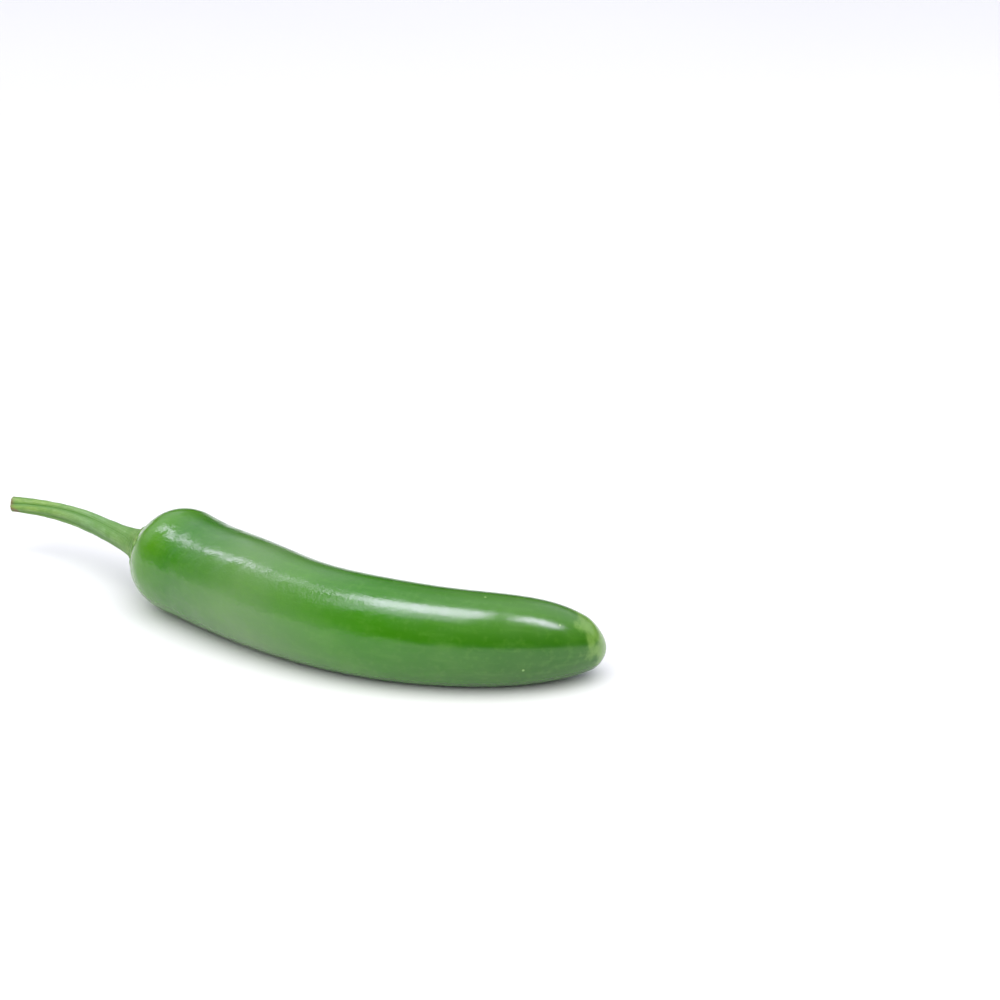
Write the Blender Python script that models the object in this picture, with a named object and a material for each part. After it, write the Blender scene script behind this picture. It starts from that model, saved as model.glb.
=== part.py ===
"""A green chilli pepper lying on its side.

Two grown pieces: the curved glossy pod, and the ribbed stem whose calyx caps the shoulder of the pod.
Lengths are in metres and angles in degrees. +Z is up, +X runs from the stem towards the tip, and the
stem end lies further back (+Y) than the tip.
"""
import math

import bmesh
import bpy
from mathutils import Matrix, Vector

MM = 0.001

# Pod: length along its curved centre line, and how thick it is
POD_LENGTH = 91.2 * MM
POD_RADIUS = 9.5 * MM
BODY_TAPER = 1.76 * MM  # lost evenly from the shoulder to the tip
TIP_TAPER = 4.85 * MM  # lost near the tip
TIP_TAPER_POWER = 12.0
TIP_SINK = 0.5  # share of the tip's taper by which its middle sinks towards the table
SHOULDER_REACH = 9.4 * MM  # length of the rounded stem end
SHOULDER_SQUARENESS = 2.2
TIP_REACH = 3.2 * MM  # length of the rounded tip
TIP_SQUARENESS = 2.4
CROWN_DROP = 1.0 * MM  # how far the crown sinks below the middle of the pod
CROWN_DROP_POWER = 4.0

# Bend of the pod in plan
CROWN_HEADING = 45.9
BEND_RATE = 1.04 / MM
BEND_RAMP = 55.8 * MM  # the bend tightens over this length
SPINE_STEPS = 300

# Slight unevenness of a grown fruit
LOBE_COUNT = 3
LOBE_SHARE = 0.009
LOBE_FIRST = 35.0
LOBE_TWIST = 0.45 / MM
LOBE_FADE = 16.0 * MM
SWELL_HEIGHT = 0.5 * MM
SWELL_FIRST = 1.1 * MM
SWELL_SPACING = 27.0 * MM
SWELL_FADE = 30.0 * MM
SEAT_DEPTH = 0.13 * MM  # how much of the belly is flattened where it lies

# Calyx
CALYX_GAP = 0.3 * MM
CALYX_RADIUS = 5.3 * MM
CALYX_TOOTH = 0.45 * MM
CALYX_TOOTH_POWER = 2.0
RIM_THICKNESS = 0.6 * MM
RIM_ROUND = 0.12 * MM

# Stem
STEM_LENGTH = 35.3 * MM
STEM_THICK = 1.82 * MM
STEM_THIN = 1.27 * MM
STEM_THIN_FROM = 9.0 * MM
STEM_THIN_OVER = 30.0 * MM
FLARE_SCALE = 4.2 * MM
FLARE_POWER = 1.15
FLARE_REACH = 2.0 * FLARE_SCALE
STEM_TURN = 59.0
STEM_TURN_FROM = 12.0 * MM
STEM_TURN_OVER = 37.4 * MM
STEM_PITCH_START = 0.3
STEM_PITCH_END = 2.5
RIB_COUNT = 5
RIB_FIRST = 60.0
RIB_SWAY = 30.0  # the ribs swing round by this much half way along the stem
RIB_SHARE_NEAR = 0.035
RIB_SHARE_FAR = 0.11
END_BEVEL = 0.2 * MM

# Fineness of the surfaces
POD_SIDES = 52
POD_RINGS = 76
STEM_SIDES = 50
UNDERSIDE_RINGS = 7
FLARE_RINGS = 14
FLARE_CROWDING = 1.6
STEM_RINGS = 34
PROFILE_SAMPLES = 1200
TINY = 0.01 * MM

POD_COLOUR = (0.115, 0.335, 0.045, 1.0)
POD_ROUGHNESS = 0.24
POD_COAT = 0.5
STEM_COLOUR = (0.270, 0.460, 0.130, 1.0)
STEM_ROUGHNESS = 0.55


def clear_scene():
    """Remove whatever objects are there."""
    for item in list(bpy.data.objects):
        bpy.data.objects.remove(item, do_unlink=True)


def smooth_step(value):
    """Ease from 0 to 1."""
    value = min(max(value, 0.0), 1.0)
    return value * value * (3.0 - 2.0 * value)


def ring_angles(count):
    """Angles round a ring, from the near side over the top."""
    return [2.0 * math.pi * index / count for index in range(count)]


def spine_heading(along):
    """Heading of the centre line in plan, in radians, at a distance from the crown."""
    share = min(max(along / BEND_RAMP, 0.0), 1.0)
    turned = BEND_RATE * BEND_RAMP * (share ** 3 - 0.5 * share ** 4)
    turned += BEND_RATE * max(along - BEND_RAMP, 0.0)
    return math.radians(CROWN_HEADING - turned)


def spine_table():
    """Plan positions of the centre line at even steps from the crown to the tip."""
    step = POD_LENGTH / SPINE_STEPS
    points = [Vector((0.0, 0.0, 0.0))]
    for index in range(SPINE_STEPS):
        heading = spine_heading((index + 0.5) * step)
        points.append(points[-1] + Vector((math.cos(heading), -math.sin(heading), 0.0)) * step)
    return points


SPINE = spine_table()


def spine_point(along):
    """Plan position of the centre line at a distance from the crown."""
    place = min(max(along / POD_LENGTH, 0.0), 1.0) * SPINE_STEPS
    index = min(int(place), SPINE_STEPS - 1)
    return SPINE[index].lerp(SPINE[index + 1], place - index)


def near_side(heading):
    """Level direction square to a heading, towards the near side."""
    return Vector((-math.sin(heading), -math.cos(heading), 0.0))


def rounding(distance, reach, squareness):
    """Share of the full radius at a distance from a rounded end."""
    rest = 1.0 - min(max(distance / reach, 0.0), 1.0)
    return (1.0 - rest * rest) ** (1.0 / squareness)


def even_radius(along):
    """Radius of the pod with its even taper alone."""
    return POD_RADIUS - BODY_TAPER * min(max(along / POD_LENGTH, 0.0), 1.0)


def tip_loss(along):
    """Radius that the tip's own taper takes away."""
    return TIP_TAPER * min(max(along / POD_LENGTH, 0.0), 1.0) ** TIP_TAPER_POWER


def body_radius(along):
    """Radius of the pod before its ends are rounded."""
    return even_radius(along) - tip_loss(along)


def end_share(along):
    """Share of the body's radius that the two rounded ends leave."""
    shoulder = rounding(along, SHOULDER_REACH, SHOULDER_SQUARENESS)
    return shoulder * rounding(POD_LENGTH - along, TIP_REACH, TIP_SQUARENESS)


def unevenness(along, angle):
    """Lobes and swellings, as an addition to the body's radius."""
    fade = smooth_step(along / LOBE_FADE) * smooth_step((POD_LENGTH - along) / LOBE_FADE)
    phase = LOBE_COUNT * (angle - math.radians(LOBE_FIRST + LOBE_TWIST * along))
    lobes = body_radius(along) * LOBE_SHARE * fade * math.cos(phase)
    wave = math.cos(2.0 * math.pi * (along - SWELL_FIRST) / SWELL_SPACING)
    upper = 0.5 + 0.5 * math.sin(angle)
    swell = SWELL_HEIGHT * wave * math.exp(-along / SWELL_FADE) * upper
    return lobes + swell


def centre_height(along):
    """Height of the centre line: the belly lies on the table and the tip is lifted a little."""
    lowest = 0.0
    for angle in ring_angles(POD_SIDES):
        reach = even_radius(along) + unevenness(along, angle)
        lowest = min(lowest, reach * math.sin(angle))
    height = -lowest - SEAT_DEPTH - TIP_SINK * tip_loss(along)
    if along < SHOULDER_REACH:
        height -= CROWN_DROP * (1.0 - end_share(along) ** CROWN_DROP_POWER)
    return height


def section_point(along, angle, height):
    """Point of the pod's skin on the section at a distance from the crown."""
    reach = (body_radius(along) + unevenness(along, angle)) * end_share(along)
    side = near_side(spine_heading(along)) * (reach * math.cos(angle))
    return spine_point(along) + side + Vector((0.0, 0.0, height + reach * math.sin(angle)))


def pod_skin(along, angle):
    """Point of the pod's skin."""
    return section_point(along, angle, centre_height(along))


def raised_skin(along, angle, lift):
    """Point over the pod's skin, raised square to it."""
    turn = TINY / POD_RADIUS
    run = pod_skin(along + TINY, angle) - pod_skin(along, angle)
    sweep = pod_skin(along, angle + turn) - pod_skin(along, angle - turn)
    return pod_skin(along, angle) + sweep.cross(run).normalized() * -lift


def shoulder_depth(radius):
    """Distance from the crown at which the shoulder has a given radius."""
    share = min(radius / POD_RADIUS, 1.0)
    return SHOULDER_REACH * (1.0 - math.sqrt(1.0 - share ** SHOULDER_SQUARENESS))


def even_stations(profile, length, count):
    """Places along a profile that cut its arc into even lengths."""
    step = length / PROFILE_SAMPLES
    travelled = [0.0]
    before = profile(0.0)
    for index in range(1, PROFILE_SAMPLES + 1):
        here = profile(index * step)
        travelled.append(travelled[-1] + math.hypot(step, here - before))
        before = here
    stations = []
    index = 0
    for number in range(1, count + 1):
        wanted = travelled[-1] * number / (count + 1)
        while travelled[index + 1] < wanted:
            index += 1
        part = (wanted - travelled[index]) / (travelled[index + 1] - travelled[index])
        stations.append((index + part) * step)
    return stations


def skin_rings(name, rings, first_pole, last_pole):
    """Closed mesh over rings of points, with a pole at each end."""
    mesh = bpy.data.meshes.new(name)
    shape = bmesh.new()
    start = shape.verts.new(first_pole)
    grid = [[shape.verts.new(point) for point in ring] for ring in rings]
    finish = shape.verts.new(last_pole)
    count = len(grid[0])
    for index in range(count):
        after = (index + 1) % count
        shape.faces.new((start, grid[0][index], grid[0][after]))
        for lower, upper in zip(grid, grid[1:]):
            shape.faces.new((lower[index], upper[index], upper[after], lower[after]))
        shape.faces.new((finish, grid[-1][after], grid[-1][index]))
    bmesh.ops.recalc_face_normals(shape, faces=shape.faces)
    shape.to_mesh(mesh)
    shape.free()
    for face in mesh.polygons:
        face.use_smooth = True
    return mesh


def plain_material(name, colour, roughness, coat):
    """Principled surface of one colour."""
    material = bpy.data.materials.new(name)
    material.use_nodes = True
    surface = material.node_tree.nodes["Principled BSDF"]
    surface.inputs["Base Color"].default_value = colour
    surface.inputs["Roughness"].default_value = roughness
    surface.inputs["Coat Weight"].default_value = coat
    material.diffuse_color = colour
    return material


def add_object(name, mesh, material, parent, placing):
    """Put a mesh in the scene under the parent."""
    mesh.materials.append(material)
    item = bpy.data.objects.new(name, mesh)
    bpy.context.scene.collection.objects.link(item)
    item.parent = parent
    item.location = placing.to_translation()
    item.rotation_euler = placing.to_euler()
    return item


def laid_down(point):
    """The point, no lower than the table."""
    return Vector((point.x, point.y, max(point.z, 0.0)))


def pod_mesh():
    """Skin of the pod, from the crown to the tip."""
    rings = []
    for along in even_stations(lambda s: body_radius(s) * end_share(s), POD_LENGTH, POD_RINGS):
        height = centre_height(along)
        ring = [laid_down(section_point(along, angle, height)) for angle in ring_angles(POD_SIDES)]
        rings.append(ring)
    crown = spine_point(0.0) + Vector((0.0, 0.0, centre_height(0.0)))
    tip = spine_point(POD_LENGTH) + Vector((0.0, 0.0, centre_height(POD_LENGTH)))
    return skin_rings("pod", rings, crown, tip)


def crown_placing():
    """Frame of the crown: x to the near side, y up, z straight out of the pod."""
    heading = spine_heading(0.0)
    side = near_side(heading)
    out = Vector((-math.cos(heading), math.sin(heading), 0.0))
    turn = Matrix((side, Vector((0.0, 0.0, 1.0)), out)).transposed().to_4x4()
    return Matrix.Translation((0.0, 0.0, centre_height(0.0))) @ turn


def stem_heading(out):
    """Heading of the stem in plan, in radians, at a distance out of the crown."""
    turned = STEM_TURN * smooth_step((out - STEM_TURN_FROM) / STEM_TURN_OVER)
    return math.radians(CROWN_HEADING - turned)


def stem_frame(out):
    """Directions across, up and along the stem at a distance out of the crown."""
    heading = stem_heading(out)
    share = min(max(out / STEM_LENGTH, 0.0), 1.0)
    pitch = math.radians(STEM_PITCH_START + (STEM_PITCH_END - STEM_PITCH_START) * share)
    if out <= 0.0:
        pitch = 0.0
    level = Vector((-math.cos(heading), math.sin(heading), 0.0))
    along = level * math.cos(pitch) + Vector((0.0, 0.0, math.sin(pitch)))
    side = near_side(heading)
    return side, along.cross(side), along


def stem_table():
    """Centre line of the stem at even steps from the crown to the cut end."""
    step = STEM_LENGTH / SPINE_STEPS
    points = [Vector((0.0, 0.0, centre_height(0.0)))]
    for index in range(SPINE_STEPS):
        points.append(points[-1] + stem_frame((index + 0.5) * step)[2] * step)
    return points


STEM_LINE = stem_table()


def stem_point(out):
    """Point of the stem's centre line; behind the crown the line runs straight on."""
    if out <= 0.0:
        return STEM_LINE[0] + stem_frame(0.0)[2] * out
    place = min(out / STEM_LENGTH, 1.0) * SPINE_STEPS
    index = min(int(place), SPINE_STEPS - 1)
    return STEM_LINE[index].lerp(STEM_LINE[index + 1], place - index)


def rib_wave(angle):
    """1 on the back of a rib, -1 in a groove."""
    return math.cos(RIB_COUNT * (angle - math.radians(RIB_FIRST)))


def rim_radius(angle):
    """Radius of the calyx, with a tooth at each rib."""
    return CALYX_RADIUS + CALYX_TOOTH * (0.5 + 0.5 * rib_wave(angle)) ** CALYX_TOOTH_POWER


def stem_radius(out):
    """Mean radius of the bare stem."""
    thinning = smooth_step((out - STEM_THIN_FROM) / STEM_THIN_OVER)
    return STEM_THICK + (STEM_THIN - STEM_THICK) * thinning


def stem_skin(out, angle, radius):
    """Point round the stem's centre line."""
    side, up, _ = stem_frame(out)
    sink = CROWN_DROP * min(radius / POD_RADIUS, 1.0) ** CROWN_DROP_POWER
    around = side * (radius * math.cos(angle)) + up * (radius * math.sin(angle) + sink)
    return stem_point(out) + around


def rim_height(angle):
    """Distance of the rim's upper edge out of the crown: negative, for the shoulder falls away."""
    return CALYX_GAP + RIM_THICKNESS - shoulder_depth(rim_radius(angle))


def flared_radius(out, angle):
    """Radius of the stem with the calyx's flare and the ribs."""
    plain = stem_radius(out)
    past = max(out - rim_height(angle), 0.0)
    flare = (rim_radius(angle) - RIM_ROUND - plain) * math.exp(-((past / FLARE_SCALE) ** FLARE_POWER))
    share = RIB_SHARE_NEAR + (RIB_SHARE_FAR - RIB_SHARE_NEAR) * smooth_step(out / STEM_LENGTH)
    sway = math.radians(RIB_SWAY) * math.sin(math.pi * max(out, 0.0) / STEM_LENGTH)
    ribs = plain * share * rib_wave(angle - sway) * smooth_step(past / FLARE_SCALE)
    return plain + flare + ribs


def underside_rings():
    """Rings under the calyx, which follow the shoulder at the gap's distance."""
    rings = []
    for number in range(1, UNDERSIDE_RINGS + 1):
        share = number / (UNDERSIDE_RINGS + 1)
        ring = []
        for angle in ring_angles(STEM_SIDES):
            depth = shoulder_depth(rim_radius(angle) * share)
            ring.append(raised_skin(depth, angle, CALYX_GAP))
        rings.append(ring)
    return rings


def rim_rings():
    """Rings round the edge of the calyx."""
    rings = []
    for inset, lift in ((RIM_ROUND, 0.0), (0.0, RIM_ROUND), (0.0, RIM_THICKNESS - RIM_ROUND)):
        ring = []
        for angle in ring_angles(STEM_SIDES):
            depth = shoulder_depth(rim_radius(angle) - inset)
            ring.append(raised_skin(depth, angle, CALYX_GAP + lift))
        rings.append(ring)
    return rings


def flare_rings():
    """Rings from the calyx's upper edge to where the stem is bare, crowded towards the rim."""
    rings = []
    for number in range(FLARE_RINGS):
        share = (number / FLARE_RINGS) ** FLARE_CROWDING
        ring = []
        for angle in ring_angles(STEM_SIDES):
            low = rim_height(angle)
            out = low + (FLARE_REACH - low) * share
            ring.append(stem_skin(out, angle, flared_radius(out, angle)))
        rings.append(ring)
    return rings


def bare_rings():
    """Rings from the top of the flare to the cut end."""
    angles = ring_angles(STEM_SIDES)
    last = STEM_LENGTH - END_BEVEL
    rings = []
    for number in range(STEM_RINGS + 1):
        out = FLARE_REACH + (last - FLARE_REACH) * number / STEM_RINGS
        rings.append([stem_skin(out, angle, flared_radius(out, angle)) for angle in angles])
    rings.append([stem_skin(STEM_LENGTH, angle, flared_radius(last, angle) - END_BEVEL) for angle in angles])
    return rings


def stem_mesh(placing):
    """Skin of the calyx and stem, from under the calyx to the cut end, in the crown's frame."""
    inward = placing.inverted()
    rings = underside_rings() + rim_rings() + flare_rings() + bare_rings()
    rings = [[inward @ point for point in ring] for ring in rings]
    seat = inward @ (stem_point(0.0) + stem_frame(0.0)[2] * CALYX_GAP)
    return skin_rings("stem_calyx", rings, seat, inward @ stem_point(STEM_LENGTH))


def centre_under(parent, items):
    """Move the parent so that the middle of the whole lies over the origin."""
    bpy.context.view_layer.update()
    corners = [item.matrix_world @ vertex.co for item in items for vertex in item.data.vertices]
    for axis in (0, 1):
        values = [corner[axis] for corner in corners]
        parent.location[axis] -= (min(values) + max(values)) / 2.0
    bpy.context.view_layer.update()


def build():
    """Build the chilli."""
    clear_scene()
    chilli = bpy.data.objects.new("chilli", None)
    bpy.context.scene.collection.objects.link(chilli)
    skin = plain_material("pod_skin", POD_COLOUR, POD_ROUGHNESS, POD_COAT)
    green = plain_material("stem_green", STEM_COLOUR, STEM_ROUGHNESS, 0.0)
    pod = add_object("pod", pod_mesh(), skin, chilli, Matrix.Identity(4))
    placing = crown_placing()
    stem = add_object("stem_calyx", stem_mesh(placing), green, chilli, placing)
    centre_under(chilli, (pod, stem))


build()
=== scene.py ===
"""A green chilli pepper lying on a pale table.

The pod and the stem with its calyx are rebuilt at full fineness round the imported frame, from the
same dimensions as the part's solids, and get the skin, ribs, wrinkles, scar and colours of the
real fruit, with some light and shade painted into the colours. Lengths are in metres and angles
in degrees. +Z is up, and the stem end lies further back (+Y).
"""
import math

import bpy
import numpy as np
from mathutils import Matrix, Vector


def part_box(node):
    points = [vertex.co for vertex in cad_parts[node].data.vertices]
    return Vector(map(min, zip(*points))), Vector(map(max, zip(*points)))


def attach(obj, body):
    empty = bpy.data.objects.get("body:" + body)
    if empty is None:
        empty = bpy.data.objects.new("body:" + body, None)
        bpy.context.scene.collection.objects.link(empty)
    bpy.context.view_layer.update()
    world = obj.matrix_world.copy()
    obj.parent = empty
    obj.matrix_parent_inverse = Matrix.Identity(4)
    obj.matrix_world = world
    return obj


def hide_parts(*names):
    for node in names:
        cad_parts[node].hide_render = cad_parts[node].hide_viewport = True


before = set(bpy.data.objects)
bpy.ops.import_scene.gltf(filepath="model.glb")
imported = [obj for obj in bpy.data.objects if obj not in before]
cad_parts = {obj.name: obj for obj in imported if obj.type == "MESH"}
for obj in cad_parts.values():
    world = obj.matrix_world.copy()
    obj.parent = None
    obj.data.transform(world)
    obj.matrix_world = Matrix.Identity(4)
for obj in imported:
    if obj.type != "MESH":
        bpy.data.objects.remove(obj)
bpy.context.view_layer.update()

MM = 0.001

# Pod, as in the part
POD_LENGTH = 91.2 * MM
POD_RADIUS = 9.5 * MM
BODY_TAPER = 1.76 * MM
TIP_TAPER = 4.85 * MM
TIP_TAPER_POWER = 12.0
TIP_SINK = 0.5
SHOULDER_REACH = 9.4 * MM
SHOULDER_SQUARENESS = 2.2
TIP_REACH = 3.2 * MM
TIP_SQUARENESS = 2.4
CROWN_DROP = 1.0 * MM
CROWN_DROP_POWER = 4.0
CROWN_HEADING = 45.9
BEND_RATE = 1.04 / MM
BEND_RAMP = 55.8 * MM
LOBE_COUNT = 3
LOBE_SHARE = 0.009
LOBE_FIRST = 35.0
LOBE_TWIST = 0.45 / MM
LOBE_FADE = 16.0 * MM
SWELL_HEIGHT = 0.5 * MM
SWELL_FIRST = 1.1 * MM
SWELL_SPACING = 27.0 * MM
SWELL_FADE = 30.0 * MM
SEAT_DEPTH = 0.13 * MM

# Stem and calyx, as in the part
CALYX_RADIUS = 5.3 * MM
CALYX_TOOTH = 0.45 * MM
CALYX_TOOTH_POWER = 2.0
RIM_ROUND = 0.12 * MM
STEM_LENGTH = 35.3 * MM
STEM_THICK = 1.82 * MM
STEM_THIN = 1.27 * MM
STEM_THIN_FROM = 9.0 * MM
STEM_THIN_OVER = 30.0 * MM
FLARE_SCALE = 4.2 * MM
FLARE_POWER = 1.15
FLARE_REACH = 2.0 * FLARE_SCALE
STEM_TURN = 59.0
STEM_TURN_FROM = 12.0 * MM
STEM_TURN_OVER = 37.4 * MM
STEM_PITCH_START = 0.3
STEM_PITCH_END = 2.5
RIB_COUNT = 5
RIB_FIRST = 60.0
RIB_SWAY = 30.0
RIB_SHARE_NEAR = 0.035
RIB_SHARE_FAR = 0.11

# Fine form of the pod's skin
POD_SIDES = 230
POD_RINGS = 420
DIMPLE_HEIGHT = 0.060 * MM  # shallow dents that break up the gloss by the stem
DIMPLE_SIZE = 4.4 * MM
DIMPLE_FADE = 30.0 * MM
DIMPLE_LEAST = 0.14  # share of the dents that is left far from the stem
DIMPLE_TIP_FADE = 5.0 * MM
RIPPLE_HEIGHT = 0.008 * MM
RIPPLE_SIZE = 1.3 * MM
RIPPLE_FADE = 44.0 * MM
RIPPLE_LEAST = 0.35
UNEVEN_FOOT = -0.75  # sine of the angle round the pod above which it has dents and ripples
UNEVEN_OVER = 0.6
FAR_SIDE_EDGE = -0.1  # cosine of the angle round the pod below which they are weaker
FAR_SIDE_OVER = 0.5
FAR_SIDE_SHARE = 0.3
PLEAT_COUNT = 11
PLEAT_HEIGHT = 0.012 * MM  # puckers that run out from under the calyx
PLEAT_FADE = 2.6 * MM
PLEAT_SWAY = 1.2
CROWN_PALE_REACH = 0.85 * SHOULDER_REACH
TIP_PALE_FROM = 86.2 * MM  # the pale cap of the tip reaches further back along the top
TIP_PALE_LEAN = 2.0 * MM
TIP_PALE_OVER = 3.0 * MM
SCAR_RADIUS = 0.42 * MM  # the blossom's scar at the tip
SCAR_DEPTH = 0.10 * MM
SCAR_POINT = 0.16 * MM
SCAR_POINT_SHARPNESS = 3.2
SCAR_STAIN = 1.5  # radius of the stain, in scar radii
SCAR_FAR = 9.0

# Fine form of the stem and calyx
STEM_SIDES = 200
UNDERSIDE_RINGS = 12
RIM_RINGS = 12
FLARE_RINGS = 120
STEM_RINGS = 260
CUT_RINGS = 14
FLARE_CROWDING = 1.5
CALYX_GAP = 0.04 * MM
RIM_THICKNESS = 0.62 * MM
RIM_RAGGED = 0.06 * MM
LIP_FADE = 0.5 * MM  # how far the rim's colours reach up the calyx
RIB_SHARPNESS = 1.1
STREAK_COUNT = 34
STREAK_SHARE = 0.012
STREAK_SWAY = 2.0
STREAK_SWAY_COUNT = 3.0
WRINKLE_HEIGHT = 0.07 * MM  # rings that crease the calyx by its rim
WRINKLE_SPACING = 0.95 * MM
WRINKLE_FADE = 2.4 * MM
WRINKLE_START = 0.4 * MM
KNOT_HEIGHT = 0.025 * MM
KNOT_SIZE = 2.4 * MM
KNOT_START = 2.0 * MM
FINE_KNOT_SIZE = KNOT_SIZE / 2.5
FINE_KNOT_SHARE = 0.5
CUT_BEVEL = 0.16 * MM
CUT_ROUGHNESS = 0.07 * MM
CUT_GRAIN = 0.5 * MM
CUT_HOLLOW_DEPTH = 0.12 * MM
CUT_HOLLOW_RADIUS = 0.45 * MM

# Sampling
SPINE_STEPS = 2000
PROFILE_STEPS = 6000
BELLY_ANGLES = 104  # places round a ring among which its lowest point is found
BOX_STATIONS = 500
BOX_ANGLES = 360
TINY = 0.005 * MM
SEED = 7
WAVE_COUNT = 36
WAVE_SPREAD = (0.75, 1.6)  # sizes of the waves in a random field
WAVE_PEAK = 1.6

# Camera, table and lamps; the aim is a point on the table in the middle of the view
CAMERA_PITCH = 22.0
CAMERA_DISTANCE = 0.560
CAMERA_AIM = (0.03584, 0.05592, 0.0)
LENS = 105.1
SENSOR = 36.0
TABLE_REACH = 2.6
LAMP_HEIGHT = 1.0
LAMP_COLOUR = (1.04, 0.89, 1.24)
STRIPS = {  # start and end in plan, width and radiance
    "strip_left": ((-1.02, 0.62), (-0.50, 0.335), 0.20, 7.0),
    "strip_join": ((-0.47, 0.06), (-0.30, -0.06), 0.14, 9.0),
    "strip_middle": ((-0.35, -0.07), (0.15, -0.20), 0.40, 12.0),
    "strip_front": ((-0.74, -0.32), (0.06, -0.53), 0.36, 2.7),
    "strip_right": ((0.36, -0.20), (1.06, -0.33), 0.26, 14.5),
}
FILL_PLACE = (0.0, -0.8, 1.4)
FILL_SIZE = (3.2, 2.4)
FILL_RADIANCE = 3.1

# Room, by direction: the ranges are parts of a unit direction to the right, back and up
WALL_TOP = (-0.10, 0.12)  # sine of the elevation where the pale walls fade out
WALL_BACK = (-0.15, 0.25)  # they end towards the back
WALL_SIDES = (-0.6, 0.8)
WALL_RADIANCE = (0.28, 0.30)  # at the left and at the right
SIDE_WALL_EDGE = (-0.85, -0.50)  # a taller pale wall at the left
SIDE_WALL_TOP = (0.10, 0.42)
SIDE_WALL_RADIANCE = 0.34
SKY_FOOT = (0.18, 0.44)  # sine of the elevation where the sky begins and is full
SKY_FRONT = (0.0, 0.35)
SKY_RADIANCE = 0.90
SKY_GAP_LEFT = (-0.11, 0.01)  # low down the sky is dimmer straight behind
SKY_GAP_RIGHT = (0.12, 0.32)
SKY_GAP_TOP = (0.60, 0.85)
SKY_GAP_SHARE = 0.30
ROOM_RADIANCE = 0.015
ROOM_COLOUR = (0.92, 0.93, 1.15, 1.0)


def smooth_step(value):
    """Ease from 0 to 1."""
    value = np.clip(value, 0.0, 1.0)
    return value * value * (3.0 - 2.0 * value)


def waves(points, size, seed):
    """Smooth random field over 3-D points, about -1 to 1, with bumps of a given size."""
    random = np.random.default_rng(seed)
    directions = random.normal(size=(WAVE_COUNT, 3))
    directions /= np.linalg.norm(directions, axis=1)[:, None]
    pitch = 2.0 * math.pi / (size * random.uniform(*WAVE_SPREAD, WAVE_COUNT))
    phases = random.uniform(0.0, 2.0 * math.pi, WAVE_COUNT)
    total = np.zeros(points.shape[:-1])
    for direction, rate, phase in zip(directions, pitch, phases):
        total += np.cos(points @ direction * rate + phase)
    return total / math.sqrt(WAVE_COUNT / 2.0) / WAVE_PEAK


# Pod


def spine_heading(along):
    """Heading of the pod's centre line in plan, in radians."""
    share = np.clip(along / BEND_RAMP, 0.0, 1.0)
    turned = BEND_RATE * BEND_RAMP * (share ** 3 - 0.5 * share ** 4)
    turned = turned + BEND_RATE * np.maximum(along - BEND_RAMP, 0.0)
    return np.radians(CROWN_HEADING - turned)


def spine_table():
    """Even steps along the pod and the centre line's plan positions there."""
    steps = np.linspace(0.0, POD_LENGTH, SPINE_STEPS + 1)
    middle = spine_heading((steps[1:] + steps[:-1]) / 2.0)
    step = POD_LENGTH / SPINE_STEPS
    across = np.concatenate([[0.0], np.cumsum(np.cos(middle) * step)])
    back = np.concatenate([[0.0], np.cumsum(-np.sin(middle) * step)])
    return steps, across, back


SPINE = spine_table()


def rounding(distance, reach, squareness):
    """Share of the full radius at a distance from a rounded end."""
    rest = 1.0 - np.clip(distance / reach, 0.0, 1.0)
    return (1.0 - rest * rest) ** (1.0 / squareness)


def even_radius(along):
    """Radius of the pod with its even taper alone."""
    return POD_RADIUS - BODY_TAPER * along / POD_LENGTH


def tip_loss(along):
    """Radius that the tip's own taper takes away."""
    return TIP_TAPER * (along / POD_LENGTH) ** TIP_TAPER_POWER


def end_share(along):
    """Share of the body's radius that the two rounded ends leave."""
    shoulder = rounding(along, SHOULDER_REACH, SHOULDER_SQUARENESS)
    return shoulder * rounding(POD_LENGTH - along, TIP_REACH, TIP_SQUARENESS)


def unevenness(along, angle):
    """Lobes and swellings, as an addition to the body's radius."""
    fade = smooth_step(along / LOBE_FADE) * smooth_step((POD_LENGTH - along) / LOBE_FADE)
    phase = LOBE_COUNT * (angle - np.radians(LOBE_FIRST + LOBE_TWIST * along))
    lobes = (even_radius(along) - tip_loss(along)) * LOBE_SHARE * fade * np.cos(phase)
    wave = np.cos(2.0 * math.pi * (along - SWELL_FIRST) / SWELL_SPACING)
    upper = 0.5 + 0.5 * np.sin(angle)
    return lobes + SWELL_HEIGHT * wave * np.exp(-along / SWELL_FADE) * upper


def centre_height(along):
    """Height of the centre line: the belly lies on the table and the tip is lifted a little."""
    angles = np.linspace(0.0, 2.0 * math.pi, BELLY_ANGLES, endpoint=False)
    reach = even_radius(along)[..., None] + unevenness(along[..., None], angles)
    lowest = (reach * np.sin(angles)).min(axis=-1)
    sunk = CROWN_DROP * (1.0 - end_share(along) ** CROWN_DROP_POWER) * (along < SHOULDER_REACH)
    return -lowest - SEAT_DEPTH - TIP_SINK * tip_loss(along) - sunk


def pod_skin(along, angle):
    """Points of the pod's skin, before its fine form."""
    heading = spine_heading(along)
    reach = (even_radius(along) - tip_loss(along) + unevenness(along, angle)) * end_share(along)
    side = reach * np.cos(angle)
    steps, across, back = SPINE
    return np.stack([
        np.interp(along, steps, across) - np.sin(heading) * side,
        np.interp(along, steps, back) - np.cos(heading) * side,
        centre_height(along) + reach * np.sin(angle),
    ], axis=-1)


def pod_outward(along, angle):
    """Directions square to the pod's skin."""
    turn = TINY / POD_RADIUS
    ahead = np.minimum(along + TINY, POD_LENGTH - TINY)
    run = pod_skin(ahead, angle) - pod_skin(ahead - 2.0 * TINY, angle)
    sweep = pod_skin(along, angle + turn) - pod_skin(along, angle - turn)
    square = np.cross(run, sweep)
    return square / np.linalg.norm(square, axis=-1, keepdims=True)


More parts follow.
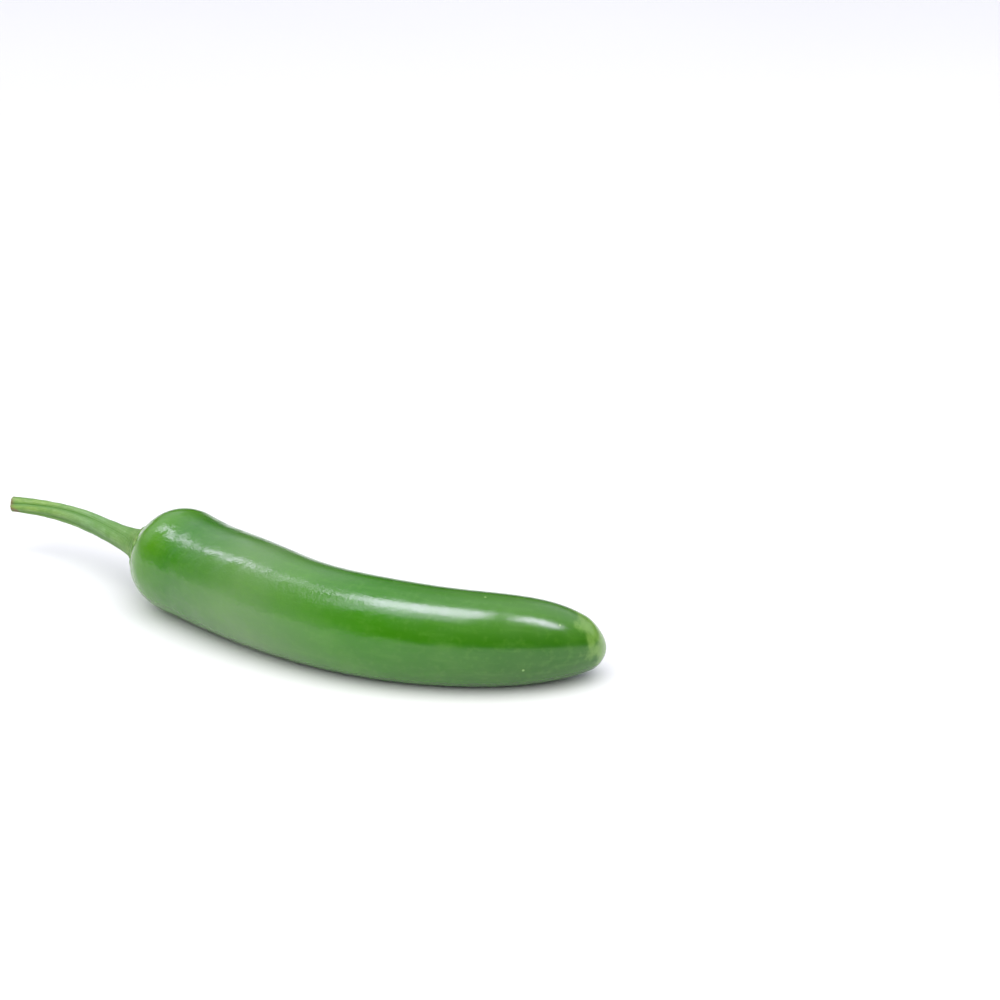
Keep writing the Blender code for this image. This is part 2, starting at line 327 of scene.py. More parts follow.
def even_stations(count):
    """Places along the pod that cut its profile into even lengths, both poles included."""
    fine = POD_LENGTH * (1.0 - np.cos(np.linspace(0.0, math.pi, PROFILE_STEPS))) / 2.0
    radius = (even_radius(fine) - tip_loss(fine)) * end_share(fine)
    travelled = np.concatenate([[0.0], np.cumsum(np.hypot(np.diff(fine), np.diff(radius)))])
    return np.interp(np.linspace(0.0, travelled[-1], count + 2), travelled, fine)


def ring_angles(count):
    """Angles round a ring, from the near side over the top."""
    return np.linspace(0.0, 2.0 * math.pi, count, endpoint=False)


# Stem


def stem_heading(out):
    """Heading of the stem in plan, in radians."""
    turned = STEM_TURN * smooth_step((out - STEM_TURN_FROM) / STEM_TURN_OVER)
    return np.radians(CROWN_HEADING - turned)


def stem_frame(out):
    """Directions across, up and along the stem at distances out of the crown."""
    heading = stem_heading(out)
    share = np.clip(out / STEM_LENGTH, 0.0, 1.0)
    pitch = np.radians(STEM_PITCH_START + (STEM_PITCH_END - STEM_PITCH_START) * share) * (out > 0.0)
    level = np.stack([-np.cos(heading), np.sin(heading), 0.0 * heading], axis=-1)
    up = np.array([0.0, 0.0, 1.0])
    along = level * np.cos(pitch)[..., None] + up * np.sin(pitch)[..., None]
    side = np.stack([-np.sin(heading), -np.cos(heading), 0.0 * heading], axis=-1)
    return side, np.cross(along, side), along


def stem_table():
    """Even steps along the stem and its centre line there."""
    steps = np.linspace(0.0, STEM_LENGTH, SPINE_STEPS + 1)
    runs = stem_frame((steps[1:] + steps[:-1]) / 2.0)[2] * (STEM_LENGTH / SPINE_STEPS)
    start = np.array([0.0, 0.0, centre_height(np.zeros(1))[0]])
    return steps, start + np.concatenate([np.zeros((1, 3)), np.cumsum(runs, axis=0)])


STEM_LINE = stem_table()


def stem_point(out):
    """Points of the stem's centre line; behind the crown the line runs straight on."""
    steps, line = STEM_LINE
    inside = np.stack([np.interp(out, steps, line[:, axis]) for axis in range(3)], axis=-1)
    return inside + stem_frame(np.zeros(1))[2][0] * np.minimum(out, 0.0)[..., None]


def stem_skin(out, angle, radius):
    """Points round the stem's centre line."""
    side, up, _ = stem_frame(out)
    sink = CROWN_DROP * np.minimum(radius / POD_RADIUS, 1.0) ** CROWN_DROP_POWER
    across = radius * np.cos(angle)
    rise = radius * np.sin(angle) + sink
    return stem_point(out) + side * across[..., None] + up * rise[..., None]


def shoulder_depth(radius):
    """Distance from the crown at which the shoulder has a given radius."""
    share = np.minimum(radius / POD_RADIUS, 1.0)
    return SHOULDER_REACH * (1.0 - np.sqrt(1.0 - share ** SHOULDER_SQUARENESS))


def plain_wave(angle):
    """1 on the back of a rib, -1 in a groove, evenly round."""
    return np.cos(RIB_COUNT * (angle - math.radians(RIB_FIRST)))


def rib_wave(angle):
    """1 on the broad back of a rib, -1 in a narrow groove."""
    half = RIB_COUNT * (angle - math.radians(RIB_FIRST)) / 2.0
    return 2.0 * np.abs(np.cos(half)) ** RIB_SHARPNESS - 1.0


def rim_radius(angle):
    """Radius of the calyx, with a tooth at each rib and a slightly ragged edge."""
    tooth = CALYX_TOOTH * (0.5 + 0.5 * plain_wave(angle)) ** CALYX_TOOTH_POWER
    ragged = np.sin(13.0 * angle + 0.6) + 0.7 * np.sin(23.0 * angle + 2.0)
    return CALYX_RADIUS + tooth + RIM_RAGGED * ragged


def rim_height(angle):
    """Distance of the rim's upper edge out of the crown."""
    return CALYX_GAP + RIM_THICKNESS - shoulder_depth(rim_radius(angle))


def rib_sway(out):
    """How far the ribs have swung round, in radians."""
    return math.radians(RIB_SWAY) * np.sin(math.pi * np.maximum(out, 0.0) / STEM_LENGTH)


def stem_radius(out, angle):
    """Radius of the stem with the calyx's flare, its ribs and its streaks."""
    thinned = smooth_step((out - STEM_THIN_FROM) / STEM_THIN_OVER)
    plain = STEM_THICK + (STEM_THIN - STEM_THICK) * thinned
    past = np.maximum(out - rim_height(angle), 0.0)
    edge = rim_radius(angle) - RIM_ROUND
    flare = (edge - plain) * np.exp(-((past / FLARE_SCALE) ** FLARE_POWER))
    share = RIB_SHARE_NEAR + (RIB_SHARE_FAR - RIB_SHARE_NEAR) * smooth_step(out / STEM_LENGTH)
    turned = angle - rib_sway(out)
    begun = smooth_step(past / FLARE_SCALE)
    ribs = plain * share * rib_wave(turned) * begun
    phase = STREAK_COUNT * turned + STREAK_SWAY * np.sin(STREAK_SWAY_COUNT * turned)
    streaks = plain * STREAK_SHARE * np.sin(phase) * begun
    wave = np.cos(2.0 * math.pi * past / WRINKLE_SPACING)
    wrinkles = WRINKLE_HEIGHT * wave * np.exp(-past / WRINKLE_FADE)
    return plain + flare + ribs + streaks + wrinkles * smooth_step(past / WRINKLE_START)


# Meshes


def closed_mesh(name, rings, first_pole, last_pole, values):
    """Closed mesh over rings of points, with a pole at each end and named values at its points."""
    count, sides = rings.shape[:2]
    points = np.concatenate([first_pole[None], rings.reshape(-1, 3), last_pole[None]])
    index = 1 + np.arange(count * sides).reshape(count, sides)
    after = np.roll(index, -1, axis=1)
    quads = np.stack([index[:-1], index[1:], after[1:], after[:-1]], axis=-1).reshape(-1, 4)
    last = len(points) - 1
    caps = [(0, a, b) for a, b in zip(index[0], after[0])]
    caps += [(last, b, a) for a, b in zip(index[-1], after[-1])]
    mesh = bpy.data.meshes.new(name)
    faces = quads.tolist() + [tuple(int(corner) for corner in cap) for cap in caps]
    mesh.from_pydata(points.tolist(), [], faces)
    mesh.validate()
    for key, value in values.items():
        layer = mesh.attributes.new(key, "FLOAT", "POINT")
        layer.data.foreach_set("value", value.astype(np.float32))
    mesh.shade_smooth()
    return mesh


def facing_out(mesh):
    """Turn the faces over if they look inwards."""
    points = np.empty(len(mesh.vertices) * 3)
    mesh.vertices.foreach_get("co", points)
    points = points.reshape(-1, 3)
    mesh.calc_loop_triangles()
    corners = np.empty(len(mesh.loop_triangles) * 3, dtype=np.int64)
    mesh.loop_triangles.foreach_get("vertices", corners)
    a, b, c = (points[corners.reshape(-1, 3)[:, k]] for k in range(3))
    if np.einsum("ij,ij->i", a, np.cross(b, c)).sum() < 0.0:
        mesh.flip_normals()
    return mesh


def with_poles(first, grid, last):
    """One value for each point of a closed mesh."""
    return np.concatenate([[first], grid.reshape(-1), [last]])


def pod_mesh():
    """The pod's skin with its dents, ripples, pleats and scar."""
    along = even_stations(POD_RINGS)[:, None]
    angle = ring_angles(POD_SIDES)[None, :]
    along, angle = np.broadcast_arrays(along, angle)
    skin = pod_skin(along, angle)
    outward = pod_outward(np.clip(along, 2.0 * TINY, POD_LENGTH - 2.0 * TINY), angle)
    from_tip = POD_LENGTH - along
    radius = (even_radius(along) - tip_loss(along)) * end_share(along)

    by_stem = np.exp(-(along / DIMPLE_FADE) ** 2)
    dents = waves(skin, DIMPLE_SIZE, SEED) * (DIMPLE_LEAST + (1.0 - DIMPLE_LEAST) * by_stem)
    dents = DIMPLE_HEIGHT * dents * smooth_step(from_tip / DIMPLE_TIP_FADE)
    by_stem = np.exp(-(along / RIPPLE_FADE) ** 2)
    ripples = RIPPLE_HEIGHT * waves(skin, RIPPLE_SIZE, SEED + 1)
    ripples = ripples * (RIPPLE_LEAST + (1.0 - RIPPLE_LEAST) * by_stem)
    near_side = smooth_step((np.cos(angle) - FAR_SIDE_EDGE) / FAR_SIDE_OVER)
    upper = smooth_step((np.sin(angle) - UNEVEN_FOOT) / UNEVEN_OVER)
    upper = upper * (FAR_SIDE_SHARE + (1.0 - FAR_SIDE_SHARE) * near_side)
    lift = (dents + ripples) * upper

    past_calyx = np.maximum(radius - CALYX_RADIUS, 0.0) / PLEAT_FADE
    pleats = np.cos(PLEAT_COUNT * angle + PLEAT_SWAY * np.sin(2.0 * angle))
    pleats = PLEAT_HEIGHT * (pleats * np.exp(-past_calyx ** 2)) * (along < SHOULDER_REACH)
    lift = lift + pleats * smooth_step(radius / CALYX_RADIUS)

    near_scar = np.where(from_tip < TIP_REACH, radius / SCAR_RADIUS, SCAR_FAR)
    lift = lift - SCAR_DEPTH * np.exp(-near_scar ** 2)
    lift = lift + SCAR_POINT * np.exp(-(near_scar * SCAR_POINT_SHARPNESS) ** 2)
    points = skin + outward * lift[..., None]
    points[..., 2] = np.maximum(points[..., 2], 0.0)

    stain = np.exp(-(near_scar / SCAR_STAIN) ** 2)
    capped = (along - TIP_PALE_FROM + TIP_PALE_LEAN * np.sin(angle)) / TIP_PALE_OVER
    # Share of the pale crown round the calyx, which is partly painted reflection.
    crown = 1.0 - smooth_step(along / CROWN_PALE_REACH)
    values = {
        "along": with_poles(0.0, along[1:-1] / POD_LENGTH, 1.0),
        "spin_x": with_poles(0.0, np.cos(angle)[1:-1], 0.0),
        "spin_y": with_poles(0.0, np.sin(angle)[1:-1], 0.0),
        "scar": with_poles(0.0, stain[1:-1], 1.0),
        "tip": with_poles(0.0, capped[1:-1], 2.0),
        "crown": with_poles(1.0, crown[1:-1], 0.0),
    }
    first = points[0].mean(axis=0)
    last = points[-1].mean(axis=0)
    return closed_mesh("pod_fine", points[1:-1], first, last, values)


def stem_mesh():
    """The calyx and stem, from under the calyx to the cut end."""
    angle = ring_angles(STEM_SIDES)[None, :]
    edge = rim_radius(angle)

    def over_shoulder(radius, lift):
        depth = np.maximum(shoulder_depth(radius), 2.0 * TINY)
        turned = np.broadcast_to(angle, depth.shape)
        return pod_skin(depth, turned) + pod_outward(depth, turned) * lift

    share = (np.arange(1, UNDERSIDE_RINGS + 1) / (UNDERSIDE_RINGS + 1.0))[:, None]
    under = over_shoulder(edge * share, CALYX_GAP)
    bend = np.linspace(0.0, math.pi, RIM_RINGS)[:, None]
    inset = RIM_ROUND * (1.0 - np.sin(bend))
    raised = CALYX_GAP + RIM_THICKNESS * (1.0 - np.cos(bend)) / 2.0
    rim = over_shoulder(edge - inset, raised[..., None] * np.ones((1, STEM_SIDES, 1)))

    low = rim_height(angle)
    share = (np.arange(1, FLARE_RINGS + 1) / FLARE_RINGS)[:, None] ** FLARE_CROWDING
    flare_out = low + (FLARE_REACH - low) * share
    last = STEM_LENGTH - CUT_BEVEL
    share = (np.arange(1, STEM_RINGS + 1) / STEM_RINGS)[:, None]
    bare_out = FLARE_REACH + (last - FLARE_REACH) * share
    out = np.concatenate([flare_out, bare_out * np.ones((1, STEM_SIDES))])
    turned = np.broadcast_to(angle, out.shape)
    radius = stem_radius(out, turned)
    body = stem_skin(out, turned, radius)
    knots = waves(body, KNOT_SIZE, SEED + 2)
    knots = knots + FINE_KNOT_SHARE * waves(body, FINE_KNOT_SIZE, SEED + 3)
    knots = KNOT_HEIGHT * knots * smooth_step((out - low) / KNOT_START)
    body = stem_skin(out, turned, radius + knots)

    inward = (np.arange(1, CUT_RINGS + 1) / (CUT_RINGS + 1.0))[:, None]
    cut_radius = stem_radius(np.full_like(turned[:1], last), turned[:1])
    cut_radius = (cut_radius - CUT_BEVEL) * (1.0 - inward)
    at_cut = np.full_like(cut_radius, STEM_LENGTH)
    cut = stem_skin(at_cut, np.broadcast_to(angle, cut_radius.shape), cut_radius)
    torn = waves(cut, CUT_GRAIN, SEED + 4) * CUT_ROUGHNESS
    hollow = CUT_HOLLOW_DEPTH * np.exp(-(cut_radius / CUT_HOLLOW_RADIUS) ** 2)
    end = stem_frame(np.full(1, STEM_LENGTH))[2][0]
    cut = cut + end * (torn - hollow)[..., None]

    rings = np.concatenate([under, rim, body, cut])
    every_out = np.concatenate([0.0 * under[..., 0], 0.0 * rim[..., 0], out, at_cut])
    rim_rows = slice(len(under), len(under) + len(rim))
    body_rows = slice(rim_rows.stop, rim_rows.stop + len(out))
    lip = np.zeros_like(every_out)
    lip[rim_rows] = 1.0
    lip[body_rows] = np.exp(-((out - low) / LIP_FADE) ** 2)
    faces_out = np.zeros_like(every_out)
    faces_out[body_rows.stop:] = 1.0
    groove = np.zeros_like(every_out)
    groove[body_rows] = np.clip(0.5 - 0.5 * rib_wave(turned - rib_sway(out)), 0.0, 1.0)
    spun = np.zeros_like(every_out) + angle / (2.0 * math.pi)
    spun[body_rows] -= rib_sway(out) / (2.0 * math.pi)
    values = {
        "out": with_poles(0.0, every_out / STEM_LENGTH, 1.0),
        "lip": with_poles(0.0, lip, 0.0),
        "cut": with_poles(0.0, faces_out, 1.0),
        "groove": with_poles(0.0, groove, 0.0),
        "spin_x": with_poles(0.0, np.cos(2.0 * math.pi * spun), 0.0),
        "spin_y": with_poles(0.0, np.sin(2.0 * math.pi * spun), 0.0),
    }
    seat = under[0].mean(axis=0)
    return closed_mesh("stem_fine", rings, seat, cut[-1].mean(axis=0), values)


def add_piece(name, mesh, node, shift, material):
    """Show a mesh in place of a solid of the frame."""
    facing_out(mesh)
    mesh.transform(Matrix.Translation(shift))
    mesh.materials.append(material)
    piece = bpy.data.objects.new(name, mesh)
    bpy.context.scene.collection.objects.link(piece)
    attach(piece, "root")
    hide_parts(node)


def frame_shift():
    """Move from the crown's own place to where the frame holds the pod."""
    along = np.linspace(TINY, POD_LENGTH - TINY, BOX_STATIONS)[:, None]
    skin = pod_skin(*np.broadcast_arrays(along, ring_angles(BOX_ANGLES)[None, :])).reshape(-1, 3)
    low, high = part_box("pod")
    middle = (np.array(low) + np.array(high) - skin.min(axis=0) - skin.max(axis=0)) / 2.0
    return Vector((middle[0], middle[1], 0.0))


# Materials


class Surface:
    """A node-built material round one Principled shader."""

    def __init__(self, name):
        self.material = bpy.data.materials.new(name)
        self.material.use_nodes = True
        self.tree = self.material.node_tree
        self.shader = self.tree.nodes["Principled BSDF"]

    def feed(self, socket, value):
        """Link an output to a socket, or set the socket's own value."""
        if isinstance(value, bpy.types.NodeSocket):
            self.tree.links.new(value, socket)
        else:
            socket.default_value = value

    def value(self, name):
        """A value that the mesh carries at its points."""
        node = self.tree.nodes.new("ShaderNodeAttribute")
        node.attribute_name = name
        return node.outputs["Fac"]

    def place(self):
        """The point's place on the object."""
        return self.tree.nodes.new("ShaderNodeTexCoord").outputs["Object"]

    def point(self, x, y, z):
        """A point made of three values."""
        node = self.tree.nodes.new("ShaderNodeCombineXYZ")
        for socket, value in zip(node.inputs, (x, y, z)):
            self.feed(socket, value)
        return node.outputs[0]

    def math(self, operation, a, b):
        """Arithmetic on two values."""
        node = self.tree.nodes.new("ShaderNodeMath")
        node.operation = operation
        self.feed(node.inputs[0], a)
        self.feed(node.inputs[1], b)
        return node.outputs[0]

    def times(self, product, *others):
        """Product of values."""
        for other in others:
            product = self.math("MULTIPLY", product, other)
        return product

    def noise(self, where, scale, detail=2.0, roughness=0.5):
        """Cloudy noise from 0 to 1."""
        node = self.tree.nodes.new("ShaderNodeTexNoise")
        self.feed(node.inputs["Vector"], where)
        node.inputs["Scale"].default_value = scale
        node.inputs["Detail"].default_value = detail
        node.inputs["Roughness"].default_value = roughness
        return node.outputs[0]

    def specks(self, where, scale, size, share):
        """Sparse round specks: 1 inside, 0 outside."""
        node = self.tree.nodes.new("ShaderNodeTexVoronoi")
        self.feed(node.inputs["Vector"], where)
        node.inputs["Scale"].default_value = scale
        inside = self.spread(node.outputs["Distance"], size, size * 0.4, 0.0, 1.0)
        parts = self.tree.nodes.new("ShaderNodeSeparateColor")
        self.feed(parts.inputs[0], node.outputs["Color"])
        chosen = self.math("LESS_THAN", parts.outputs[0], share)
        return self.times(inside, chosen)

    def spread(self, value, low, high, to_low=0.0, to_high=1.0):
        """Smoothly map a range of a value to another range."""
        node = self.tree.nodes.new("ShaderNodeMapRange")
        node.interpolation_type = "SMOOTHSTEP"
        for socket, number in zip(node.inputs[1:5], (low, high, to_low, to_high)):
            socket.default_value = number
        self.feed(node.inputs[0], value)
        return node.outputs[0]

    def mix(self, share, first, second):
        """Blend two colours."""
        node = self.tree.nodes.new("ShaderNodeMix")
        node.data_type = "RGBA"
        self.feed(node.inputs[0], share)
        self.feed(node.inputs[6], first)
        self.feed(node.inputs[7], second)
        return node.outputs[2]

    def ramp(self, value, stops):
        """Colours along a value."""
        node = self.tree.nodes.new("ShaderNodeValToRGB")
        self.feed(node.inputs[0], value)
        elements = node.color_ramp.elements
        while len(elements) < len(stops):
            elements.new(0.5)
        for element, (position, colour) in zip(elements, stops):
            element.position = position
            element.color = colour
        return node.outputs[0]

    def bump(self, height, distance):
        """Small relief."""
        node = self.tree.nodes.new("ShaderNodeBump")
        node.inputs["Distance"].default_value = distance
        self.feed(node.inputs["Height"], height)
        self.feed(self.shader.inputs["Normal"], node.outputs[0])

    def set(self, name, value):
        """Feed one of the shader's sockets, or set its own value."""
        self.feed(self.shader.inputs[name], value)


POD_SHOULDER = (0.094, 0.262, 0.012, 1.0)
POD_SIDE = (0.032, 0.162, 0.003, 1.0)
# The middle stop is partly the pod's own olive green and partly a painted haze of reflection, in
# its raised red and blue.
POD_GREEN = (0.100, 0.218, 0.058, 1.0)
POD_DEEP = (0.032, 0.168, 0.001, 1.0)
POD_DARK = (0.021, 0.115, 0.001, 1.0)
POD_TIP = (0.170, 0.320, 0.060, 1.0)
POD_PALE = (0.110, 0.275, 0.040, 1.0)
# Pale green round the calyx, partly the shoulder's own colour and partly a painted reflection of
# the pale surroundings.
POD_CROWN = (0.200, 0.345, 0.095, 1.0)
POD_SCAR = (0.120, 0.118, 0.032, 1.0)
POD_SPECK = (0.200, 0.360, 0.100, 1.0)
POD_ROUGHNESS = 0.205
POD_IOR = 1.56
POD_BEADS = 0.065 * MM  # relief that breaks the highlights into beads


def pod_material():
    """Glossy green skin, paler at the shoulder and the tip, faintly mottled and specked, with
    painted shade along the belly, painted light on the top near the tip and painted reflection
    paling the crown and the middle.
    """
    skin = Surface("pod_skin_fine")
    place = skin.place()
    along, spin_x, spin_y = (skin.value(name) for name in ("along", "spin_x", "spin_y"))

    cloud = skin.noise(place, 95.0, 3.0)
    wander = skin.times(skin.math("SUBTRACT", cloud, 0.5), 0.12)
    # Colours along the pod; the stop at a third of the length carries a painted haze of reflection.
    green = skin.ramp(skin.math("ADD", along, wander), (
        (0.02, POD_SHOULDER), (0.16, POD_SIDE), (0.34, POD_GREEN),
        (0.56, POD_DEEP), (0.84, POD_DARK),
    ))
    run = skin.point(skin.times(along, 2.6), spin_x, spin_y)
    streak = skin.noise(run, 7.0, 3.0, 0.6)
    fine = skin.noise(place, 900.0, 2.0)
    # Painted light: the top side towards the tip is paled, as if lit from above.
    painted_top_light = skin.times(skin.spread(spin_y, 0.2, 0.9), skin.spread(along, 0.55, 0.85))
    green = skin.mix(skin.spread(streak, 0.45, 0.8, 0.0, 0.18), green, POD_PALE)
    green = skin.mix(skin.spread(cloud, 0.5, 0.8, 0.0, 0.30), green, POD_PALE)
    green = skin.mix(skin.spread(fine, 0.50, 0.75, 0.0, 0.14), green, POD_PALE)
    green = skin.mix(skin.times(painted_top_light, 0.35), green, POD_PALE)
    green = skin.mix(skin.specks(place, 330.0, 0.10, 0.10), green, POD_SPECK)
    # Paler round the calyx: partly the shoulder's own colour, partly a painted reflection.
    green = skin.mix(skin.times(skin.value("crown"), 0.85), green, POD_CROWN)
    # Painted shade: the lowest side of the belly, in the middle of the pod, darkened towards the
    # dark green where it meets the table.
    under = skin.times(
        skin.spread(spin_y, -0.70, -0.97, 0.0, 0.75),
        skin.spread(along, 0.30, 0.50),
        skin.spread(along, 0.78, 0.92, 1.0, 0.0),
    )
    green = skin.mix(under, green, POD_DARK)
    patch = skin.times(skin.math("SUBTRACT", skin.noise(place, 480.0, 3.0), 0.5), 2.6)
    capped = skin.math("ADD", skin.value("tip"), patch)
    green = skin.mix(skin.spread(capped, 0.0, 1.0, 0.0, 0.80), green, POD_TIP)
    green = skin.mix(skin.value("scar"), green, POD_SCAR)
    skin.set("Base Color", green)

    worn = skin.times(
        skin.spread(skin.noise(place, 300.0, 2.0), 0.42, 0.56, 0.055, -0.030),
        skin.spread(along, 0.28, 0.48, 1.0, 0.5),
    )
    skin.set("Roughness", skin.math("ADD", worn, POD_ROUGHNESS))
    skin.set("IOR", POD_IOR)
    skin.set("Subsurface Weight", 0.10)
    skin.set("Subsurface Radius", (0.6, 1.0, 0.25))
    skin.set("Subsurface Scale", 1.5 * MM)

    grain = skin.times(
        skin.spread(spin_y, -0.95, -0.50),
        skin.spread(along, 0.45, 0.80, 1.0, 0.15),
        skin.spread(spin_x, -0.30, 0.35),
    )
    small = skin.times(skin.noise(place, 2300.0, 1.0), 0.45)
    large = skin.times(skin.noise(place, 1100.0, 1.0), 0.55)
    skin.bump(skin.times(grain, skin.math("ADD", small, large)), POD_BEADS)
    return skin.material


STEM_NEAR = (0.138, 0.270, 0.050, 1.0)
STEM_MIDDLE = (0.150, 0.292, 0.100, 1.0)
STEM_FAR = (0.166, 0.292, 0.045, 1.0)
STEM_GROOVE = (0.062, 0.185, 0.013, 1.0)
STEM_PALE = (0.270, 0.430, 0.165, 1.0)
STEM_DARK = (0.098, 0.235, 0.037, 1.0)
STEM_BROWN = (0.120, 0.070, 0.025, 1.0)
RIM_PALE = (0.200, 0.340, 0.090, 1.0)
CUT_PALE = (0.520, 0.560, 0.340, 1.0)
CUT_BROWN = (0.150, 0.095, 0.038, 1.0)
STEM_FIBRES = 0.035 * MM  # relief of the fibres


def stem_material():
    """Fibrous pale green, with painted shade in the grooves, a painted shadow line by the calyx's
    rim, a pale rim and a drying cut end.
    """
    stem = Surface("stem_green_fine")
    place = stem.place()
    out, lip, spin_x, spin_y = (stem.value(name) for name in ("out", "lip", "spin_x", "spin_y"))

    green = stem.ramp(out, ((0.10, STEM_NEAR), (0.45, STEM_MIDDLE), (0.85, STEM_FAR)))
    run = stem.point(stem.times(out, 2.2), spin_x, spin_y)
    fibre = stem.noise(run, 9.0, 4.0, 0.65)
    green = stem.mix(stem.spread(fibre, 0.5, 0.75, 0.0, 0.6), green, STEM_PALE)
    green = stem.mix(stem.spread(fibre, 0.48, 0.25, 0.0, 0.5), green, STEM_DARK)
    # Painted shade: the rib grooves are darkened, more so towards the cut end.
    hollowed = stem.spread(stem.value("groove"), 0.10, 0.95)
    groove = stem.times(hollowed, stem.spread(out, 0.1, 0.6, 0.45, 0.92))
    green = stem.mix(groove, green, STEM_GROOVE)
    cloud = stem.noise(place, 420.0, 4.0, 0.6)
    green = stem.mix(stem.spread(cloud, 0.44, 0.64, 0.0, 0.75), green, STEM_DARK)
    green = stem.mix(stem.specks(place, 700.0, 0.16, 0.10), green, STEM_BROWN)

    green = stem.mix(stem.times(lip, 0.75), green, RIM_PALE)
    blotch = stem.noise(place, 420.0, 3.0)
    browned = stem.times(lip, stem.spread(blotch, 0.52, 0.64, 0.0, 0.85))
    green = stem.mix(browned, green, STEM_BROWN)
    # Painted shadow: a broken dark line running round the calyx just inside its rim.
    crease = stem.times(
        stem.spread(lip, 0.01, 0.15),
        stem.spread(lip, 0.45, 0.80, 1.0, 0.0),
        stem.spread(stem.noise(place, 450.0, 2.0), 0.40, 0.60, 0.0, 0.75),
    )
    green = stem.mix(crease, green, STEM_GROOVE)
    wrinkle = stem.spread(stem.noise(place, 650.0, 2.0), 0.50, 0.62)
    wrinkle = stem.times(wrinkle, stem.spread(out, 0.03, 0.16, 0.8, 0.0))
    green = stem.mix(wrinkle, green, STEM_GROOVE)

    low_side = stem.spread(spin_y, 0.1, -0.6, 0.0, 0.03)
    edge = stem.spread(stem.math("ADD", out, low_side), 0.972, 0.998)
    near_end = stem.times(edge, stem.spread(cloud, 0.35, 0.55, 0.3, 0.95))
    green = stem.mix(near_end, green, CUT_BROWN)
    dried = stem.spread(stem.noise(place, 1600.0, 3.0), 0.45, 0.70)
    green = stem.mix(stem.value("cut"), green, stem.mix(dried, CUT_PALE, CUT_BROWN))
    stem.set("Base Color", green)

    stem.set("Roughness", stem.spread(fibre, 0.3, 0.7, 0.62, 0.48))
    stem.set("Subsurface Weight", 0.08)
    stem.set("Subsurface Radius", (0.6, 1.0, 0.3))
    stem.set("Subsurface Scale", 0.8 * MM)
    relief = stem.math("ADD", stem.noise(run, 26.0, 3.0, 0.6), stem.noise(place, 1900.0, 2.0))
    stem.bump(relief, STEM_FIBRES)
    return stem.material


TABLE_DARK = (0.78, 0.78, 0.78, 1.0)
TABLE_LIGHT = (0.81, 0.81, 0.81, 1.0)


def table_material():
    """Plain pale board."""
    board = Surface("pale_table")
    tone = board.noise(board.place(), 3.0, 2.0)
    board.set("Base Color", board.ramp(tone, ((0.3, TABLE_DARK), (0.7, TABLE_LIGHT))))
    board.set("Roughness", 0.6)
    board.set("Specular IOR Level", 0.2)
    return board.material


# Table, lamps and camera


def add_table():
    """The table that the chilli lies on."""
    mesh = bpy.data.meshes.new("table")
    signs = ((-1.0, -1.0), (1.0, -1.0), (1.0, 1.0), (-1.0, 1.0))
    corners = [(x * TABLE_REACH, y * TABLE_REACH, 0.0) for x, y in signs]
    mesh.from_pydata(corners, [], [(0, 1, 2, 3)])
    mesh.materials.append(table_material())
    table = bpy.data.objects.new("table", mesh)
    bpy.context.scene.collection.objects.link(table)


def flat_lamp(name, length, width, radiance):
    """Flat lamp with an even face."""
    lamp = bpy.data.lights.new(name, "AREA")
    lamp.shape = "RECTANGLE"
    lamp.size, lamp.size_y = length, width
    lamp.energy = radiance * math.pi * length * width
    item = bpy.data.objects.new(name, lamp)
    bpy.context.scene.collection.objects.link(item)
    return item


def add_strip(name, start, end, width, radiance):
    """Narrow lamp overhead that runs between two places and faces down, seen in the gloss only."""
    run = Vector(end) - Vector(start)
    item = flat_lamp(name, run.length, width, radiance)
    item.data.color = LAMP_COLOUR
    item.location = (*(Vector(start) + run / 2.0), LAMP_HEIGHT)
    item.rotation_euler = (0.0, 0.0, math.atan2(run.y, run.x))
    item.visible_diffuse = False


def add_fill():
    """Broad soft lamp in front and overhead that faces the chilli, not seen in the gloss."""
    item = flat_lamp("fill", *FILL_SIZE, FILL_RADIANCE)
    item.location = FILL_PLACE
    item.rotation_euler = (-Vector(FILL_PLACE)).to_track_quat("-Z", "Y").to_euler()
    item.visible_glossy = False


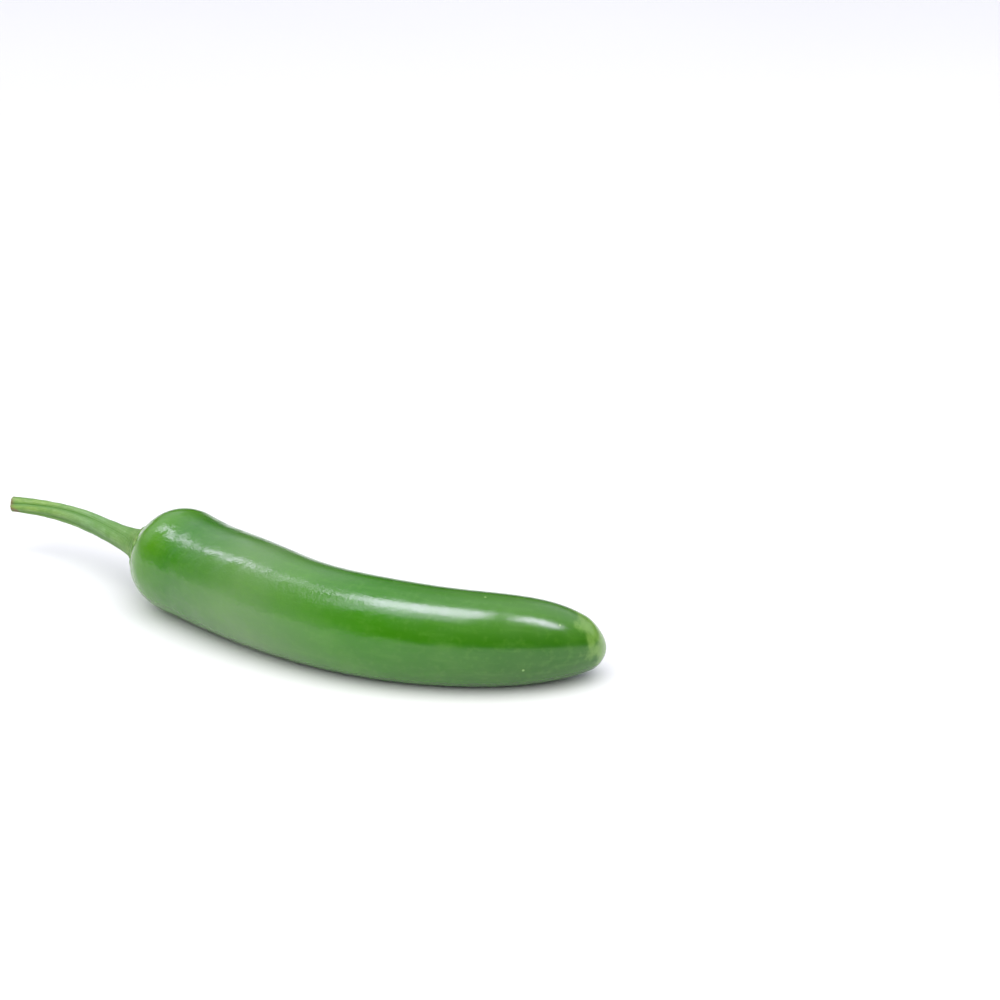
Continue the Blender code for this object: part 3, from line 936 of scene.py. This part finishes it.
def add_room():
    """A dim room: pale walls low down, a taller one at the left, and a soft pale sky behind."""
    world = bpy.data.worlds.new("room")
    bpy.context.scene.world = world
    world.use_nodes = True
    tree = world.node_tree
    direction = tree.nodes.new("ShaderNodeTexCoord").outputs["Generated"]
    parts = tree.nodes.new("ShaderNodeSeparateXYZ")
    tree.links.new(direction, parts.inputs[0])
    side, back, height = parts.outputs

    def fade(value, first, last, start, end):
        node = tree.nodes.new("ShaderNodeMapRange")
        node.interpolation_type = "SMOOTHSTEP"
        for socket, number in zip(node.inputs[1:5], (first, last, start, end)):
            socket.default_value = number
        tree.links.new(value, node.inputs[0])
        return node.outputs[0]

    def together(operation, first, second):
        node = tree.nodes.new("ShaderNodeMath")
        node.operation = operation
        for socket, value in zip(node.inputs, (first, second)):
            if isinstance(value, float):
                socket.default_value = value
            else:
                tree.links.new(value, socket)
        return node.outputs[0]

    low = fade(height, *WALL_TOP, 1.0, 0.0)
    walls = together("MULTIPLY", low, fade(back, *WALL_BACK, 1.0, 0.0))
    walls = together("MULTIPLY", walls, fade(side, *WALL_SIDES, *WALL_RADIANCE))
    beside = fade(side, *SIDE_WALL_EDGE, SIDE_WALL_RADIANCE, 0.0)
    beside = together("MULTIPLY", beside, fade(height, *SIDE_WALL_TOP, 1.0, 0.0))
    walls = together("MAXIMUM", walls, beside)
    high = fade(height, *SKY_FOOT, 0.0, 1.0)
    sky = together("MULTIPLY", high, fade(back, *SKY_FRONT, 0.0, 1.0))
    gap = fade(side, *SKY_GAP_LEFT, 1.0, SKY_GAP_SHARE)
    gap = together("MAXIMUM", gap, fade(side, *SKY_GAP_RIGHT, SKY_GAP_SHARE, 1.0))
    gap = together("MAXIMUM", gap, fade(height, *SKY_GAP_TOP, SKY_GAP_SHARE, 1.0))
    sky = together("MULTIPLY", sky, together("MULTIPLY", gap, SKY_RADIANCE))
    radiance = together("ADD", together("ADD", walls, sky), ROOM_RADIANCE)
    tree.links.new(radiance, tree.nodes["Background"].inputs["Strength"])
    tree.nodes["Background"].inputs["Color"].default_value = ROOM_COLOUR


def add_lamps():
    """Strips overhead for the gloss, a broad fill for the rest, and the room."""
    for name, (start, end, width, radiance) in STRIPS.items():
        add_strip(name, start, end, width, radiance)
    add_fill()
    add_room()


def add_camera():
    """The photograph's view: level, looking along +Y and down on the table."""
    camera = bpy.data.cameras.new("camera")
    camera.lens = LENS
    camera.sensor_width = SENSOR
    camera.clip_start = 0.01
    item = bpy.data.objects.new("camera", camera)
    pitch = math.radians(CAMERA_PITCH)
    back = Vector((0.0, -math.cos(pitch), math.sin(pitch))) * CAMERA_DISTANCE
    item.location = Vector(CAMERA_AIM) + back
    item.rotation_euler = (math.radians(90.0 - CAMERA_PITCH), 0.0, 0.0)
    bpy.context.scene.collection.objects.link(item)
    bpy.context.scene.camera = item


def build():
    """Dress the frame and set the scene."""
    scene = bpy.context.scene
    scene.view_settings.view_transform = "Standard"
    shift = frame_shift()
    add_piece("pod_fine", pod_mesh(), "pod", shift, pod_material())
    add_piece("stem_fine", stem_mesh(), "stem_calyx", shift, stem_material())
    add_table()
    add_lamps()
    add_camera()


build()
